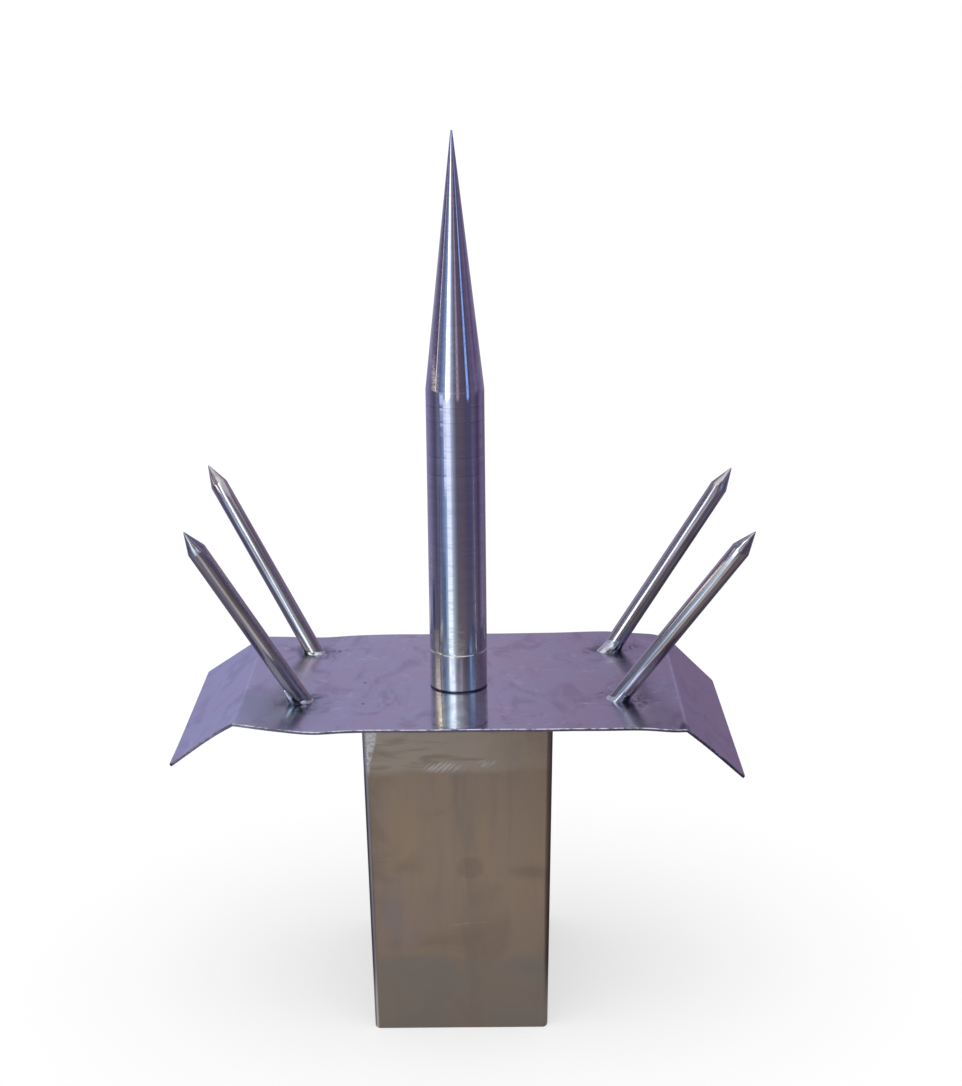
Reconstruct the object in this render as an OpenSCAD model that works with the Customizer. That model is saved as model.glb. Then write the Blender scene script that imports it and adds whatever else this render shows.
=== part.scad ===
// Lightning rod: a turned centre spike and four pointed side rods stand on a folded
// sheet cover, and a rectangular tube under the cover slips over the end of a post.
// Millimetres, +Z up. The origin is at the tube's foot, under the axis of the spike.

/* [Centre spike] */
// Diameter of the bar that the spike and its collar are turned from
spike_d = 25; // [18:0.5:36]
// Height of the straight shank above the collar
shank_h = 115.5; // [60:0.5:180]
// Height of the cone from the shank to the point
cone_h = 107.5; // [60:0.5:180]
// Diameter of the tiny flat left on the point
point_d = 0.8; // [0.4:0.1:3]
// Chamfer on the turned edges
edge_c = 0.5; // [0.2:0.1:1]

/* [Collar and stud] */
// Height of the collar between the cover and the shank
collar_h = 17; // [8:0.5:40]
// Diameter of the stud that clamps the spike on the cover
stud_d = 12; // [8:1:14]
// Depth of the stud in the foot of the spike
stud_grip = 24; // [12:1:50]
// Length of stud left below the nut
stud_tail = 3; // [1:0.5:8]
// Chamfer on the ends of the stud
stud_c = 1; // [0.5:0.25:2]
// Room around the stud in its holes, on the radius
stud_room = 0.1; // [0.05:0.05:0.3]
// Depth of the spike's hole beyond the end of the stud
hole_room = 3; // [1:0.5:8]
// Angle of the drill's point at the end of the hole, in degrees
drill_deg = 118; // [90:1:140]
// Thickness of the washer
washer_t = 2.5; // [1:0.5:4]

/* [Cover] */
// Thickness of the sheet
sheet_t = 1.2; // [0.8:0.1:3]
// Width of sheet left in front of the tube
front_lip = 1.5; // [0:0.25:10]
// Width of sheet left behind the tube
back_lip = 16; // [8:0.5:40]
// Width of the flat between the tube and the left fold
flat_left = 53.75; // [40:0.25:80]
// Width of the flat between the tube and the right fold
flat_right = 55.75; // [40:0.25:80]
// Width of the left wing, from the fold to its free edge
wing_left = 31.5; // [20:0.5:60]
// Width of the right wing, from the fold to its free edge
wing_right = 33.5; // [20:0.5:60]
// Angle of the left wing below the level, in degrees
wing_left_deg = 32; // [10:1:60]
// Angle of the right wing below the level, in degrees
wing_right_deg = 44; // [10:1:60]
// Inside radius of the folds
bend_r = 3; // [1:0.5:8]
// Cut across the free corners of the wings
wing_corner_c = 1.5; // [0.5:0.25:5]
// Amount that the front edge runs in at the left fold
trim_front_left = 3; // [0:0.25:6]
// Amount that the back edge runs in at the left fold
trim_back_left = 2; // [0:0.25:6]
// Amount that the back edge runs in at the right fold
trim_back_right = 4; // [0:0.25:6]
// Length of edge over which it runs in
trim_run = 26; // [10:1:40]

/* [Side rods] */
// Diameter of the rods
rod_d = 8; // [5:0.5:12]
// Length of a rod from the cover to its point, along its axis
rod_len = 100; // [60:1:160]
// Length of the pointed end
rod_point = 10; // [5:0.5:25]
// Diameter of the tiny flat left on a rod's point
rod_flat_d = 0.5; // [0.3:0.1:2]
// Distance from a fold to the feet of the rods beside it
rod_inset = 26.5; // [20:0.5:34]
// Distance from the front edge of the cover to the front feet
rod_front_inset = 37; // [20:0.5:38]
// Distance from the back edge of the cover to the back feet
rod_back_inset = 26; // [16:0.5:40]
// Lean of the front left rod from upright, in degrees
lean_front_left = 32.5; // [0:0.5:45]
// Lean of the front right rod from upright, in degrees
lean_front_right = 36.5; // [0:0.5:45]
// Lean of the back left rod from upright, in degrees
lean_back_left = 35.5; // [0:0.5:45]
// Lean of the back right rod from upright, in degrees
lean_back_right = 34.5; // [0:0.5:45]
// Turn of the front left rod from sideways towards the front, in degrees
turn_front_left = 37; // [0:0.5:60]
// Turn of the front right rod from sideways towards the front, in degrees
turn_front_right = 25; // [0:0.5:60]
// Turn of the back left rod from sideways towards the back, in degrees
turn_back_left = 32; // [0:0.5:60]
// Turn of the back right rod from sideways towards the back, in degrees
turn_back_right = 12.5; // [0:0.5:60]

/* [Rod welds] */
// Width of weld left showing around the foot of a rod
weld_rim = 2; // [1:0.25:4]
// Height of the weld on the cover
weld_h = 2.6; // [1.5:0.1:5]

/* [Mount tube] */
// Width of the tube at the cover
tube_w = 79.5; // [60:0.5:100]
// Depth of the tube from front to back
tube_d = 112; // [80:0.5:160]
// Distance from the tube's front face to the spike's axis
spike_back = 56; // [35:0.5:80]
// Height of the tube
tube_h = 136; // [80:0.5:300]
// Thickness of the tube's wall
tube_wall = 3; // [2:0.25:6]
// Outside radius of the tube's upright corners
tube_corner_r = 2.5; // [1:0.5:12]
// Inside radius of the tube's upright corners
tube_inner_r = 1; // [0.5:0.5:8]
// Amount that each side wall leans in between the cover and the foot
foot_narrow = 2.6; // [0:0.1:5]
// Radius that eases the sharp ends of the foot
foot_ease_r = 1.5; // [0.5:0.5:6]
// Leg of the welds between the tube and the cover
tube_weld_leg = 4; // [2:0.5:6]
// Distance from the tube's front face to the start of the welds beside it
tube_weld_start = 16; // [8:1:40]

/* [Hidden] */
$fn = 96;
bend_steps = 8;
drill_tip_r = 0.05;
// Length that a cutter runs on past what it cuts
cut_over = 1;

cover_under = tube_h;
cover_top = cover_under + sheet_t;
collar_top = cover_top + collar_h;

bore_r = stud_d / 2 + stud_room;
washer_d = 2 * stud_d;
nut_flats = 1.58 * stud_d;
nut_h = 0.84 * stud_d;
nut_slope_deg = 30;
washer_under = cover_under - washer_t;
nut_under = washer_under - nut_h;
stud_foot = nut_under - stud_tail;
stud_top = collar_top + stud_grip;
hole_h = stud_grip + hole_room;

tube_front = -spike_back;
tube_mid = tube_front + tube_d / 2;
tube_back = tube_front + tube_d;
cover_front = spike_back + front_lip;
cover_back = tube_back + back_lip;
fold_left = tube_w / 2 + flat_left;
fold_right = tube_w / 2 + flat_right;
wall_lean = atan(foot_narrow / tube_h);
side_weld_len = tube_d - tube_weld_start - tube_corner_r;
side_weld_mid = tube_front + tube_weld_start + side_weld_len / 2;

rod_left_x = -fold_left + rod_inset;
rod_right_x = fold_right - rod_inset;
rod_front_y = -cover_front + rod_front_inset;
rod_back_y = cover_back - rod_back_inset;

steel = [0.62, 0.62, 0.68];
sheet_steel = [0.55, 0.51, 0.64];
tube_steel = [0.46, 0.41, 0.37];
weld_steel = [0.5, 0.5, 0.54];

// Turned spike: half of its section is revolved, and the stud's hole is drilled from below.
module centre_spike() {
  r = spike_d / 2;
  color(steel)
    difference() {
      translate([0, 0, collar_top])
        rotate_extrude()
          polygon([[0, 0], [r - edge_c, 0], [r, edge_c], [r, shank_h],
                   [point_d / 2, shank_h + cone_h], [0, shank_h + cone_h]]);
      translate([0, 0, collar_top - cut_over])
        cylinder(h = hole_h + cut_over, r = bore_r);
      translate([0, 0, collar_top + hole_h])
        cylinder(h = bore_r / tan(drill_deg / 2), r1 = bore_r, r2 = drill_tip_r);
    }
}

// Collar: a short length of the same bar, bored for the stud, with a chamfer at each end.
module spike_collar() {
  r = spike_d / 2;
  color(steel)
    translate([0, 0, cover_top])
      rotate_extrude()
        polygon([[bore_r, 0], [r - edge_c, 0], [r, edge_c], [r, collar_h - edge_c],
                 [r - edge_c, collar_h], [bore_r, collar_h]]);
}

module spike_stud() {
  r = stud_d / 2;
  color(steel)
    translate([0, 0, stud_foot])
      rotate_extrude()
        polygon([[0, 0], [r - stud_c, 0], [r, stud_c], [r, stud_top - stud_foot - stud_c],
                 [r - stud_c, stud_top - stud_foot], [0, stud_top - stud_foot]]);
}

module stud_washer() {
  color(steel)
    translate([0, 0, washer_under])
      difference() {
        cylinder(h = washer_t, d = washer_d);
        translate([0, 0, -cut_over])
          cylinder(h = washer_t + 2 * cut_over, r = bore_r);
      }
}

// Hexagon nut: the prism's corners are rounded off by a cone at each end.
module stud_nut() {
  corner_r = nut_flats / sqrt(3);
  slope = (corner_r - nut_flats / 2) * tan(nut_slope_deg);
  color(steel)
    translate([0, 0, nut_under])
      difference() {
        intersection() {
          cylinder(h = nut_h, r = corner_r, $fn = 6);
          rotate_extrude()
            polygon([[0, 0], [nut_flats / 2, 0], [corner_r, slope], [corner_r, nut_h - slope],
                     [nut_flats / 2, nut_h], [0, nut_h]]);
        }
        translate([0, 0, -cut_over])
          cylinder(h = nut_h + 2 * cut_over, r = bore_r);
      }
}

// Room that a fold takes from the flat and from the wing beside it.
function setback(deg) = (bend_r + sheet_t) * tan(deg / 2);

// One face of a fold to the right of x and of the wing beyond it, out to the free edge.
// The flat's upper face is at height 0, and r picks the upper or the lower face.
function fold_face(x, deg, width, r) =
  let (centre = [x, -bend_r - sheet_t])
  concat([for (i = [0 : bend_steps]) centre + r * [sin(deg * i / bend_steps), cos(deg * i / bend_steps)]],
         [centre + r * [sin(deg), cos(deg)] + (width - setback(deg)) * [cos(deg), -sin(deg)]]);

function flipped(points) = [for (p = points) [-p[0], p[1]]];

function reversed(points) = [for (i = [1 : len(points)]) points[len(points) - i]];

// The whole sheet across its width: the flat between the folds and the two wings.
module cover_section() {
  outer = bend_r + sheet_t;
  left_end = fold_left - setback(wing_left_deg);
  right_end = fold_right - setback(wing_right_deg);
  polygon(concat(reversed(flipped(fold_face(left_end, wing_left_deg, wing_left, outer))),
                 fold_face(right_end, wing_right_deg, wing_right, outer),
                 reversed(fold_face(right_end, wing_right_deg, wing_right, bend_r)),
                 flipped(fold_face(left_end, wing_left_deg, wing_left, bend_r))));
}

// Plan of the hand-cut sheet: the edges run in a little at three ends of the folds.
module cover_plan() {
  left = fold_left + wing_left * cos(wing_left_deg);
  right = fold_right + wing_right * cos(wing_right_deg);
  c = wing_corner_c;
  polygon([[-left, -cover_front + c], [-left + c, -cover_front],
           [-fold_left, -cover_front + trim_front_left], [-fold_left + trim_run, -cover_front],
           [right - c, -cover_front], [right, -cover_front + c],
           [right, cover_back - c], [right - c, cover_back],
           [fold_right, cover_back - trim_back_right], [fold_right - trim_run, cover_back],
           [-fold_left + trim_run, cover_back], [-fold_left, cover_back - trim_back_left],
           [-left + c, cover_back], [-left, cover_back - c]]);
}

// Folded cover with the stud's clearance hole.
module cover_plate() {
  fall = 2 * max(wing_left, wing_right);
  color(sheet_steel)
    difference() {
      intersection() {
        translate([0, cover_back + cut_over, cover_top])
          rotate([90, 0, 0])
            linear_extrude(height = cover_front + cover_back + 2 * cut_over)
              cover_section();
        translate([0, 0, cover_top - fall])
          linear_extrude(height = fall + cut_over)
            cover_plan();
      }
      translate([0, 0, cover_under - cut_over])
        cylinder(h = sheet_t + 2 * cut_over, r = bore_r);
    }
}

// Whole length of a rod about its own axis, carried on below its foot.
module rod_body(below) {
  r = rod_d / 2;
  rotate_extrude()
    polygon([[0, -below], [r, -below], [r, rod_len - rod_point],
             [rod_flat_d / 2, rod_len], [0, rod_len]]);
}

// Puts a rod's axis through its foot: side is -1 left or 1 right, way is -1 front or 1 back.
module at_rod(side, way, lean, turn) {
  translate([side < 0 ? rod_left_x : rod_right_x, way < 0 ? rod_front_y : rod_back_y, cover_top])
    rotate([0, 0, side < 0 ? 180 - way * turn : way * turn])
      rotate([0, lean, 0])
        children();
}

// Side rod with its foot cut level, so that it stands on the sheet.
module side_rod(side, way, lean, turn) {
  far = 4 * (rod_len + fold_right + cover_back);
  color(steel)
    difference() {
      at_rod(side, way, lean, turn)
        rod_body(rod_d);
      translate([-far / 2, -far / 2, cover_top - far])
        cube(far);
    }
}

// Weld round the foot of a rod: a low dome on the sheet, cut through by the rod.
module rod_weld(side, way, lean, turn) {
  rim_r = rod_d / 2 / cos(lean) + weld_rim;
  ball_r = (rim_r * rim_r + weld_h * weld_h) / (2 * weld_h);
  color(weld_steel)
    difference() {
      translate([side < 0 ? rod_left_x : rod_right_x, way < 0 ? rod_front_y : rod_back_y, cover_top])
        intersection() {
          translate([0, 0, weld_h - ball_r])
            sphere(r = ball_r);
          translate([-2 * rim_r, -2 * rim_r, 0])
            cube([4 * rim_r, 4 * rim_r, 2 * weld_h]);
        }
      at_rod(side, way, lean, turn)
        rod_body(rod_d);
    }
}

module rod_front_left() {
  side_rod(-1, -1, lean_front_left, turn_front_left);
}

module rod_front_right() {
  side_rod(1, -1, lean_front_right, turn_front_right);
}

module rod_back_left() {
  side_rod(-1, 1, lean_back_left, turn_back_left);
}

module rod_back_right() {
  side_rod(1, 1, lean_back_right, turn_back_right);
}

module weld_front_left() {
  rod_weld(-1, -1, lean_front_left, turn_front_left);
}

module weld_front_right() {
  rod_weld(1, -1, lean_front_right, turn_front_right);
}

module weld_back_left() {
  rod_weld(-1, 1, lean_back_left, turn_back_left);
}

module weld_back_right() {
  rod_weld(1, 1, lean_back_right, turn_back_right);
}

// Plan of half a tube: its wall lies at x = 0 with rounded corners, and it runs on to -X.
module half_plan(depth, r) {
  run = 2 * tube_w;
  translate([-run, -depth / 2])
    square([run - r, depth]);
  translate([-run, -depth / 2 + r])
    square([run, depth - 2 * r]);
  for (y = [-depth / 2 + r, depth / 2 - r])
    translate([-r, y])
      circle(r = r);
}

// Solid with the tube's tapering outline, set in from the outside by inset, with corners of radius r.
// Each side wall comes from one half, leaning in towards the foot.
module tube_form(inset, r, low, high) {
  intersection() {
    for_side(1)
      tube_half(inset, r);
    for_side(-1)
      tube_half(inset, r);
    translate([-tube_w, tube_front - cut_over, low])
      cube([2 * tube_w, tube_d + 2 * cut_over, high - low]);
  }
}

module for_side(side) {
  if (side < 0) {
    mirror([1, 0, 0])
      children();
  } else {
    children();
  }
}

module tube_half(inset, r) {
  long = 1.5 * tube_h;
  translate([tube_w / 2 - inset, tube_mid, tube_h])
    rotate([0, wall_lean, 0])
      translate([0, 0, 2 * cut_over - long])
        linear_extrude(height = long)
          half_plan(tube_d - 2 * inset, r);
}

// Rounds off the lower end of a side wall, across the tube's depth.
module foot_ease() {
  r = foot_ease_r;
  x = tube_w / 2 - foot_narrow + r * tan(wall_lean) - r / cos(wall_lean);
  translate([0, tube_back + cut_over, 0])
    rotate([90, 0, 0])
      linear_extrude(height = tube_d + 2 * cut_over)
        for (side = [0, 1])
          mirror([side, 0])
            difference() {
              translate([x, -cut_over])
                square([2 * r, cut_over + r - r * sin(wall_lean)]);
              translate([x, r])
                circle(r = r);
            }
}

// Tube that slips over the post: open at its foot, closed above by the cover.
module mount_tube() {
  color(tube_steel)
    difference() {
      tube_form(0, tube_corner_r, 0, tube_h);
      tube_form(tube_wall, tube_inner_r, -cut_over, tube_h + cut_over);
      foot_ease();
    }
}

// Weld in the corner between a wall of the tube and the sheet: a quarter round along Y.
// The wall leans away from it by lean, and the sheet is above it.
module corner_weld(length, lean) {
  reach = 2 * tube_weld_leg;
  color(weld_steel)
    rotate([90, 0, 0])
      linear_extrude(height = length, center = true)
        intersection() {
          circle(r = tube_weld_leg);
          polygon([[0, 0], [reach, 0], [reach, -reach], [-reach * tan(lean), -reach]]);
        }
}

module tube_weld_left() {
  translate([-tube_w / 2, side_weld_mid, cover_under])
    mirror([1, 0, 0])
      corner_weld(side_weld_len, wall_lean);
}

module tube_weld_right() {
  translate([tube_w / 2, side_weld_mid, cover_under])
    corner_weld(side_weld_len, wall_lean);
}

module tube_weld_back() {
  translate([0, tube_back, cover_under])
    rotate([0, 0, 90])
      corner_weld(tube_w - 2 * tube_corner_r, 0);
}

centre_spike();
spike_collar();
spike_stud();
stud_washer();
stud_nut();
cover_plate();
rod_front_left();
rod_front_right();
rod_back_left();
rod_back_right();
weld_front_left();
weld_front_right();
weld_back_left();
weld_back_right();
mount_tube();
tube_weld_left();
tube_weld_right();
tube_weld_back();
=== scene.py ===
"""Looks of a lightning rod: a turned spike and four pointed rods on a folded, hand-cut sheet cover."""

import math

import bmesh
import bpy
from bpy.props import FloatProperty, FloatVectorProperty, IntProperty, PointerProperty
from mathutils import Color, Matrix, Vector, noise


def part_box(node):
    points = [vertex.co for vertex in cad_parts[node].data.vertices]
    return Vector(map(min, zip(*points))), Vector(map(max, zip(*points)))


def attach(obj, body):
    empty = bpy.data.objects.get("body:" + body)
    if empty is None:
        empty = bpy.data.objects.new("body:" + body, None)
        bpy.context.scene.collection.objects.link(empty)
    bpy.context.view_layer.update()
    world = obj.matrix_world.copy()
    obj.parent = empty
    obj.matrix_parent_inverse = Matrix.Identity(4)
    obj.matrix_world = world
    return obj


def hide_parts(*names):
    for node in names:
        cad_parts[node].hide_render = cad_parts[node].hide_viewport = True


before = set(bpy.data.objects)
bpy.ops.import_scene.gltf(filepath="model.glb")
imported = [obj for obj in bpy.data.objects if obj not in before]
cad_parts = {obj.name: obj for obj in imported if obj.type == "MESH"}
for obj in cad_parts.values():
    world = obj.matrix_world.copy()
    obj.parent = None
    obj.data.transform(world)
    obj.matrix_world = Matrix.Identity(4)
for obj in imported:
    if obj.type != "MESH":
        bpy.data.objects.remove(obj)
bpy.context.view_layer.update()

bl_info = {
    "name": "Lightning rod looks",
    "version": (1, 0, 0),
    "blender": (4, 5, 0),
    "location": "3D View > Sidebar > Lightning rod",
    "description": "Dresses the lightning rod's solids with turned, drawn, folded and welded steel",
    "category": "Object",
}

ROOT = "root"
CORNERS = ("front_left", "front_right", "back_left", "back_right")
COVER_LOW, COVER_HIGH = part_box("cover_plate")
TUBE_LOW, TUBE_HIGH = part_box("mount_tube")
SPIKE_LOW, SPIKE_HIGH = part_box("centre_spike")
COLLAR_LOW, COLLAR_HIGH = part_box("spike_collar")
COVER_TOP = COLLAR_LOW.z
COVER_UNDER = TUBE_HIGH.z


# Settings

def size(name, description, default):
    """A length that a user can change."""
    return FloatProperty(name=name, description=description, default=default, unit="LENGTH")


def slant(name, description, degrees):
    """An angle that a user can change."""
    return FloatProperty(
        name=name, description=description, default=math.radians(degrees), subtype="ANGLE")


def shade(name, description, *default):
    """A display colour that a user can change."""
    return FloatVectorProperty(
        name=name, description=description, size=3, default=default, subtype="COLOR_GAMMA")


class SpikeSettings(bpy.types.PropertyGroup):
    shank: size("Shank", "Height of the straight shank above the collar", 0.1155)
    chamfer: size("Chamfer", "Chamfer on the turned edges", 0.0005)
    blunt: size("Blunt", "Radius of the cone just below its point", 0.0004)
    ring_depth: size("Ring depth", "Depth of the scribed rings", 0.000006)
    ring_width: size("Ring width", "Width of the scribed rings", 0.0004)
    rings: FloatVectorProperty(
        name="Rings", description="Heights of the scribed rings above the spike's foot", size=4,
        default=(0.0796, 0.0874, 0.1025, 0.1089), unit="LENGTH")
    sides: IntProperty(name="Sides", description="Steps round the turned pieces", default=160)
    pitch: size("Pitch", "Distance between the tool rings", 0.0005)
    steel: shade("Steel", "Colour of the turned steel", 0.66, 0.64, 0.72)
    warm: shade("Warm foot", "Colour of the steel at the collar", 0.72, 0.71, 0.715)
    warm_run: size("Warm run", "Height over which the warmer steel fades out", 0.075)


class CoverSettings(bpy.types.PropertyGroup):
    fold_left: size("Left fold", "Distance from the spike's axis to the left fold", 0.0935)
    fold_right: size("Right fold", "Distance from the spike's axis to the right fold", 0.0955)
    wing_left: size("Left wing", "Width of the left wing", 0.0315)
    wing_right: size("Right wing", "Width of the right wing", 0.0335)
    angle_left: slant("Left angle", "Fall of the left wing", 32)
    angle_right: slant("Right angle", "Fall of the right wing", 44)
    twist: slant("Twist", "How much more the wings fall at the back than at the front", 2.5)
    trim_front_left: size("Front left trim", "Cut off the front edge at the left fold", 0.003)
    trim_back_left: size("Back left trim", "Cut off the back edge at the left fold", 0.002)
    trim_back_right: size("Back right trim", "Cut off the back edge at the right fold", 0.004)
    trim_run: size("Trim run", "Length over which a trim runs out on the flat", 0.026)
    wing_trim: size("Wing trim", "Cut off the front and back edges at the wings' ends", 0.0018)
    crisp: size("Front bend", "Radius of the folds at the front", 0.0025)
    soft_left: size("Left back bend", "Radius of the left fold at the back", 0.010)
    soft_right: size("Right back bend", "Radius of the right fold at the back", 0.018)
    corner: size("Corners", "Rounding of the sheet's corners", 0.0013)
    hole: size("Hole", "Radius of the hole for the stud", 0.006)
    burr: size("Burr", "Width of the bright burr along the cut edge", 0.0003)
    burn: size("Burn", "Radius of the burns round the rods", 0.015)
    mauve: shade("Sheet", "Main colour of the dull sheet", 0.735, 0.70, 0.78)
    lilac: shade("Lilac patches", "Colour of the bluer patches", 0.71, 0.73, 0.815)
    # Plum also paints the shade towards the sheet's right
    plum: shade("Plum patches", "Colour of the darker patches", 0.565, 0.53, 0.635)
    slate: shade("Slate patch", "Colour of the greyer patch by the front left rod", 0.59, 0.62, 0.68)
    rubbed: shade("Rubbed", "Colour of rubbed folds and light strokes", 0.86, 0.85, 0.92)
    # The sheared edge's colour is a darker copy of the sheet's, painted shade on the cut edge
    sheared: shade("Sheared edge", "Colour of the sheared edge", 0.40, 0.37, 0.47)
    bare: shade("Bare edge", "Colour of the bare cut edge", 0.72, 0.72, 0.76)
    # Burnt also paints the shadow under the right fold's front corner and beside the front left rod's
    # weld
    burnt: shade("Burnt", "Colour of the burns beside the welds", 0.27, 0.28, 0.38)


class RodSettings(bpy.types.PropertyGroup):
    point: size("Point", "Length of the pointed end", 0.010)
    flat: size("Flat", "Diameter of the tiny flat on the point", 0.0005)
    diameter: size("Diameter", "Diameter of the rods", 0.008)
    sides: IntProperty(name="Sides", description="Steps round a rod", default=72)
    steel: shade("Steel", "Colour of the drawn steel", 0.68, 0.655, 0.68)
    brown: shade("Brown", "Colour of the dull patches", 0.47, 0.43, 0.40)


class WeldSettings(bpy.types.PropertyGroup):
    rim: size("Rim", "Width of a rod's plain bead", 0.0005)
    rise: size("Rise", "Height of a rod's plain bead", 0.0010)
    sink: size("Sink", "How far a bead sinks into the sheet", 0.0002)
    bite: size("Bite", "How far a bead bites into its rod", 0.0002)
    leg: size("Leg", "Leg of the welds along the tube", 0.004)
    ripple: size("Ripple", "Distance between the ripples along the tube's welds", 0.0017)
    silver: shade("Silver", "Colour of the clean weld metal", 0.80, 0.81, 0.84)
    # Soot also paints the shade in the hollows at the rod beads' feet
    soot: shade("Soot", "Colour of the burnt hollows", 0.20, 0.20, 0.26)


class TubeSettings(bpy.types.PropertyGroup):
    lean: FloatProperty(
        name="Lean", description="How much the side walls draw in, per length", default=0.0191)
    top_band: size("Top band", "Height of the paler band at the tube's top", 0.020)
    foot_band: size("Foot band", "Height of the greyer band at the tube's foot", 0.036)
    brown: shade("Tube", "Main colour of the satin tube", 0.512, 0.448, 0.398)
    tan: shade("Drips", "Colour of the warmer drips", 0.545, 0.468, 0.40)
    # Umber also paints the shade towards the tube's foot
    umber: shade("Smudges", "Colour of the darker smudges", 0.415, 0.36, 0.325)
    grey: shade("Grey", "Colour of the greyer streaks and the band at the foot", 0.425, 0.40, 0.38)
    mauve: shade("Mauve patch", "Colour of the cooler patch on the left", 0.475, 0.43, 0.435)
    pale: shade("Pale band", "Colour of the paler band at the top", 0.585, 0.54, 0.50)
    # Bright also paints the highlight down the tube's left corner
    bright: shade("Bright", "Colour of ground corners and scuffs", 0.74, 0.73, 0.74)


class StageSettings(bpy.types.PropertyGroup):
    eye: FloatVectorProperty(
        name="Eye", description="Place of the camera", size=3,
        default=(0.0156, -0.8946, 0.4484), subtype="TRANSLATION")
    pitch: slant("Pitch", "How far the camera looks down", 15.44)
    yaw: slant("Yaw", "How far the camera looks to the right", -0.335)
    roll: slant("Roll", "How far the camera leans", -0.62)
    reach: FloatProperty(
        name="Reach", description="Focal length as a share of the picture's height",
        default=2150 / 1086)
    tent_radius: size("Tent", "Radius of the tent that the steel mirrors", 0.45)
    tent_height: size("Tent height", "Height of the tent", 0.75)
    shelf_height: size("Shelf height", "Height of the two rings of light over the front", 0.26)
    shelf_split: size("Shelf split", "Radius where the far ring of light follows the near one", 0.332)
    near_width: size("Near ring", "Width of the near ring of light", 0.082)
    far_width: size("Far ring", "Width of the far ring of light", 0.078)
    lamp_width: slant("Lamp width", "Angle across the soft lamp", 70)
    lamp_power: FloatProperty(name="Lamp power", description="Strength of the soft lamp", default=0.5)
    lamp_way: FloatVectorProperty(
        name="Lamp way", description="Way that the soft lamp shines", size=3,
        default=(0.3, 0.3, -1.0), subtype="DIRECTION")
    floor_lift: FloatProperty(
        name="Floor lift", description="Share of plain white that the floor shows", default=0.55,
        subtype="FACTOR")
    floor: shade("Floor", "Colour of the floor", 0.97, 0.97, 0.97)


# Meshes

# Angle from which an edge shows as an edge
SHARP = math.radians(35)


def written(bm, name):
    """Closes a bmesh's normals, shades it smooth up to an angle, and makes an object of it."""
    bmesh.ops.recalc_face_normals(bm, faces=bm.faces)
    for face in bm.faces:
        face.smooth = True
    for edge in bm.edges:
        edge.smooth = len(edge.link_faces) == 2 and edge.calc_face_angle(0.0) < SHARP
    mesh = bpy.data.meshes.new(name)
    bm.to_mesh(mesh)
    bm.free()
    piece = bpy.data.objects.new(name, mesh)
    bpy.context.scene.collection.objects.link(piece)
    return piece


def dressed(piece, material, slot, *nodes):
    """Gives a piece its material, seats it on the root and lets it stand for CAD nodes; the slot is not
    used.
    """
    piece.data.materials.append(material)
    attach(piece, ROOT)
    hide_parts(*nodes)
    return piece


def stretch(start, end, count):
    """Points from start to end, without the end."""
    return [tuple(a + (b - a) * i / count for a, b in zip(start, end)) for i in range(count)]


def chain(bm, points, closed=False):
    """New vertices at some points, and the edges from each to the next."""
    made = [bm.verts.new(point) for point in points]
    nexts = made[1:] + made[:1] if closed else made[1:]
    return made + [bm.edges.new(pair) for pair in zip(made, nexts)]


def spun(bm, outline, steps, angle=2 * math.pi, along=(0, 0, 0)):
    """Spins a chain round the Z axis or moves it along in steps, and closes a full turn."""
    whole = angle == 2 * math.pi
    bmesh.ops.spin(
        bm, geom=outline, cent=(0, 0, 0), axis=(0, 0, 1), dvec=along, angle=angle, steps=steps,
        use_merge=whole, use_duplicate=False)
    if whole:
        bmesh.ops.remove_doubles(bm, verts=bm.verts, dist=1e-7)


def turned(profile, sides):
    """A bmesh turned from a profile of (radius, height) points."""
    bm = bmesh.new()
    spun(bm, chain(bm, [(radius, 0.0, height) for radius, height in profile]), sides)
    return bm


# Node helpers

def tone(colour):
    """A display colour as the linear colour that a socket takes."""
    return (*Color(colour).from_srgb_to_scene_linear(), 1.0)


def dimmed(colour, share):
    """A socket's colour with a share of its brightness."""
    return (*(part * share for part in colour[:3]), 1.0)


def put(tree, kind, inputs=None, **settings):
    """Adds a node, with its settings, and sets or links its inputs."""
    made = tree.nodes.new(kind)
    for key, value in settings.items():
        setattr(made, key, value)
    for key, value in (inputs or {}).items():
        if isinstance(value, bpy.types.NodeSocket):
            tree.links.new(value, made.inputs[key])
        else:
            made.inputs[key].default_value = value
    return made


def math_node(tree, operation, first, second=0.0, clamp=False):
    made = put(tree, "ShaderNodeMath", {0: first, 1: second}, operation=operation, use_clamp=clamp)
    return made.outputs[0]


def times(tree, first, second):
    return math_node(tree, "MULTIPLY", first, second)


def plus(tree, first, second):
    return math_node(tree, "ADD", first, second)


def minus(tree, first, second, clamp=False):
    return math_node(tree, "SUBTRACT", first, second, clamp)


def strongest(tree, *masks):
    """The greatest of some masks at each place."""
    total = masks[0]
    for mask in masks[1:]:
        total = math_node(tree, "MAXIMUM", total, mask)
    return total


def blend(tree, factor, first, second):
    """Mixes two colours by a factor."""
    made = put(tree, "ShaderNodeMix", {0: factor, 6: first, 7: second}, data_type="RGBA")
    return made.outputs[2]


def spread(tree, value, low, high, to_low=0.0, to_high=1.0):
    """Maps a value from one range to another, with soft ends."""
    made = put(
        tree, "ShaderNodeMapRange", {0: value, 1: low, 2: high, 3: to_low, 4: to_high},
        interpolation_type="SMOOTHSTEP")
    return made.outputs[0]


def moved(tree, vector, scale=(1, 1, 1), turn=(0, 0, 0), shift=(0, 0, 0)):
    """A vector stretched, turned and moved."""
    made = put(
        tree, "ShaderNodeMapping",
        {"Vector": vector, "Location": shift, "Rotation": turn, "Scale": scale})
    return made.outputs[0]


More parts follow.
